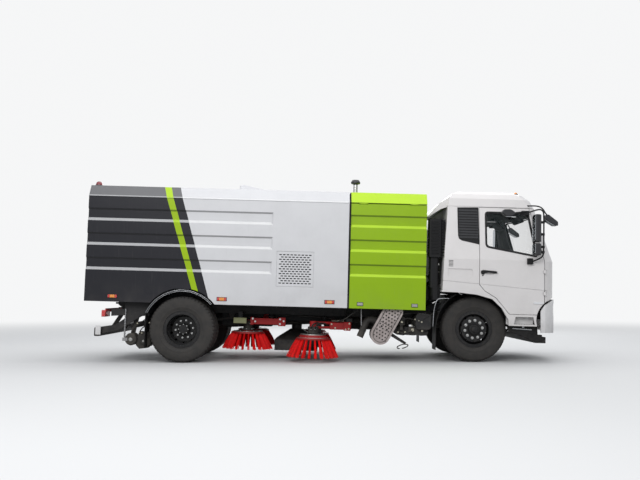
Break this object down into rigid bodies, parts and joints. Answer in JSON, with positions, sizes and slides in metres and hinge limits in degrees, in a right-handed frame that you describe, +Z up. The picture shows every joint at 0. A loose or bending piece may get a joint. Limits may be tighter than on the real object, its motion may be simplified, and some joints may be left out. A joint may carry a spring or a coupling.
{
  "type": "street sweeper truck",
  "caption": "Two-axle truck with a ribbed tipping waste hopper, machine compartment, tilting cab, suction nozzle and rotating brooms for sweeping streets.",
  "frame": {"origin": "centre of the outline on the ground", "axes": "+X forward, +Y to the driver's left, +Z up"},
  "size_m": [7.6956, 2.98, 2.9897],
  "materials": {
    "white_paint": "gloss",
    "green_paint": "gloss",
    "black_paint": "satin",
    "dark_steel": "matte",
    "red_paint": "satin",
    "bristle_red": "matte",
    "tyre_rubber": "matte",
    "black_plastic": "matte",
    "trim_plastic": "matte",
    "seat_cloth": "matte",
    "clear_glass": "gloss",
    "lamp_lens": "gloss",
    "red_lens": "gloss",
    "stack_steel": "satin",
    "guard_steel": "satin"
  },
  "bodies": {
    "chassis": {"frame": "black_paint", "subframe": "black_paint", "front_axle": "dark_steel", "rear_axle": "dark_steel", "driveline": "dark_steel", "tanks": "black_paint", "silencer": "black_paint", "silencer_guard": "guard_steel", "mudguards": "black_plastic", "front_bumper": "white_paint", "headlamps": "lamp_lens", "tail_lamps": "red_lens", "underrun_guards": "black_paint", "compartment": "green_paint", "sweeping_engine": "dark_steel", "exhaust_stack": "stack_steel", "air_intake": "black_plastic", "suction_nozzle": "black_paint", "rear_broom_hangers": "red_paint", "ram_mounts": "black_paint"},
    "cab": {"cab_shell": "white_paint", "cab_glass": "clear_glass", "dashboard": "trim_plastic", "seats": "seat_cloth"},
    "steering_wheel": {"steering_wheel": "black_plastic"},
    "hopper": {"hopper": "white_paint", "hopper_grilles": "white_paint"},
    "tailgate": {"tailgate": "white_paint"},
    "ram_barrels": {"ram_barrels": "black_paint"},
    "ram_rods": {"ram_rods": "stack_steel"},
    "door_left": {"door_left": "white_paint", "door_glass_left": "clear_glass", "mirror_left": "black_plastic"},
    "knuckle_left": {"knuckle_left": "dark_steel"},
    "front_wheel_left": {"front_tyre_left": "tyre_rubber", "front_rim_left": "black_paint"},
    "rear_wheels_left": {"rear_tyres_left": "tyre_rubber", "rear_rims_left": "black_paint"},
    "broom_arm_left": {"broom_arm_left": "red_paint"},
    "front_broom_left": {"front_broom_left": "bristle_red"},
    "rear_broom_left": {"rear_broom_left": "bristle_red"},
    "compartment_door_left": {"compartment_door_left": "green_paint"},
    "door_right": {"door_right": "white_paint", "door_glass_right": "clear_glass", "mirror_right": "black_plastic"},
    "knuckle_right": {"knuckle_right": "dark_steel"},
    "front_wheel_right": {"front_tyre_right": "tyre_rubber", "front_rim_right": "black_paint"},
    "rear_wheels_right": {"rear_tyres_right": "tyre_rubber", "rear_rims_right": "black_paint"},
    "broom_arm_right": {"broom_arm_right": "red_paint"},
    "front_broom_right": {"front_broom_right": "bristle_red"},
    "rear_broom_right": {"rear_broom_right": "bristle_red"},
    "compartment_door_right": {"compartment_door_right": "green_paint"}
  },
  "joints": [
    {"name": "cab_tilt", "type": "hinge", "parent": "chassis", "child": "cab", "pos_m": [3.73532, 0, 0.66308], "axis": [0, 1, 0], "range_deg": [0, 45]},
    {"name": "hopper_tip", "type": "hinge", "parent": "chassis", "child": "hopper", "pos_m": [-3.42368, 0, 1.16316], "axis": [0, -1, 0], "range_deg": [0, 45]},
    {"name": "tailgate_lift", "type": "hinge", "parent": "hopper", "child": "tailgate", "pos_m": [-3.79609, 0, 2.65814], "axis": [0, 1, 0], "range_deg": [0, 75]},
    {"name": "ram_swing", "type": "hinge", "parent": "chassis", "child": "ram_barrels", "pos_m": [-3.23381, 0, 0.79772], "axis": [0, -1, 0], "range_deg": [0, 31.5]},
    {"name": "ram_stroke", "type": "slide", "parent": "ram_barrels", "child": "ram_rods", "axis": [0.7315, 0, 0.6818], "range_m": [0, 0.284]},
    {"name": "steer_left", "type": "hinge", "parent": "chassis", "child": "knuckle_left", "pos_m": [2.411, 0.76, 0.527], "axis": [0, 0, 1], "range_deg": [-33, 33]},
    {"name": "steer_right", "type": "hinge", "parent": "chassis", "child": "knuckle_right", "pos_m": [2.411, -0.76, 0.527], "axis": [0, 0, 1], "range_deg": [-33, 33]},
    {"name": "steering_wheel_turn", "type": "hinge", "parent": "cab", "child": "steering_wheel", "pos_m": [3.22177, 0.56, 1.61779], "axis": [-0.5934, 0, 0.8049], "range_deg": [-500, 500]},
    {"name": "door_left_hinge", "type": "hinge", "parent": "cab", "child": "door_left", "pos_m": [3.5263, 1.252, 1.27415], "axis": [-0.0279, 0, -0.9996], "range_deg": [0, 65]},
    {"name": "front_wheel_left_roll", "type": "hinge", "parent": "knuckle_left", "child": "front_wheel_left", "pos_m": [2.411, 0.94, 0.527], "axis": [0, 1, 0], "continuous": true},
    {"name": "rear_wheels_left_roll", "type": "hinge", "parent": "chassis", "child": "rear_wheels_left", "pos_m": [-2.289, 0.93, 0.527], "axis": [0, 1, 0], "continuous": true},
    {"name": "broom_arm_left_swing", "type": "hinge", "parent": "chassis", "child": "broom_arm_left", "pos_m": [0.40159, 0.76, 0.57612], "axis": [-0.0279, 0, -0.9996], "range_deg": [0, 20]},
    {"name": "front_broom_left_spin", "type": "hinge", "parent": "broom_arm_left", "child": "front_broom_left", "pos_m": [-0.19232, 0.95, 0.37263], "axis": [0.0279, 0, 0.9996], "continuous": true},
    {"name": "rear_broom_left_spin", "type": "hinge", "parent": "chassis", "child": "rear_broom_left", "pos_m": [-1.2895, 0.55, 0.4533], "axis": [0.0279, 0, 0.9996], "continuous": true},
    {"name": "compartment_door_left_lift", "type": "hinge", "parent": "chassis", "child": "compartment_door_left", "pos_m": [1.04262, 1.242, 2.53799], "axis": [0.9996, 0, -0.0279], "range_deg": [0, 80]},
    {"name": "door_right_hinge", "type": "hinge", "parent": "cab", "child": "door_right", "pos_m": [3.5263, -1.252, 1.27415], "axis": [0.0279, 0, 0.9996], "range_deg": [0, 65]},
    {"name": "front_wheel_right_roll", "type": "hinge", "parent": "knuckle_right", "child": "front_wheel_right", "pos_m": [2.411, -0.94, 0.527], "axis": [0, 1, 0], "continuous": true},
    {"name": "rear_wheels_right_roll", "type": "hinge", "parent": "chassis", "child": "rear_wheels_right", "pos_m": [-2.289, -0.93, 0.527], "axis": [0, 1, 0], "continuous": true},
    {"name": "broom_arm_right_swing", "type": "hinge", "parent": "chassis", "child": "broom_arm_right", "pos_m": [0.40159, -0.76, 0.57612], "axis": [0.0279, 0, 0.9996], "range_deg": [0, 20]},
    {"name": "front_broom_right_spin", "type": "hinge", "parent": "broom_arm_right", "child": "front_broom_right", "pos_m": [-0.19232, -0.95, 0.37263], "axis": [0.0279, 0, 0.9996], "continuous": true},
    {"name": "rear_broom_right_spin", "type": "hinge", "parent": "chassis", "child": "rear_broom_right", "pos_m": [-1.2895, -0.55, 0.4533], "axis": [0.0279, 0, 0.9996], "continuous": true},
    {"name": "compartment_door_right_lift", "type": "hinge", "parent": "chassis", "child": "compartment_door_right", "pos_m": [1.04262, -1.242, 2.53799], "axis": [-0.9996, 0, 0.0279], "range_deg": [0, 80]}
  ],
  "couplings": [
    {"joint": "steer_right", "follows": "steer_left", "ratio": 1},
    {"joint": "steering_wheel_turn", "follows": "steer_left", "ratio": 15},
    {"joint": "ram_swing", "follows": "hopper_tip", "ratio": 0.687},
    {"joint": "ram_stroke", "follows": "hopper_tip", "m_per_rad": 0.35498}
  ]
}
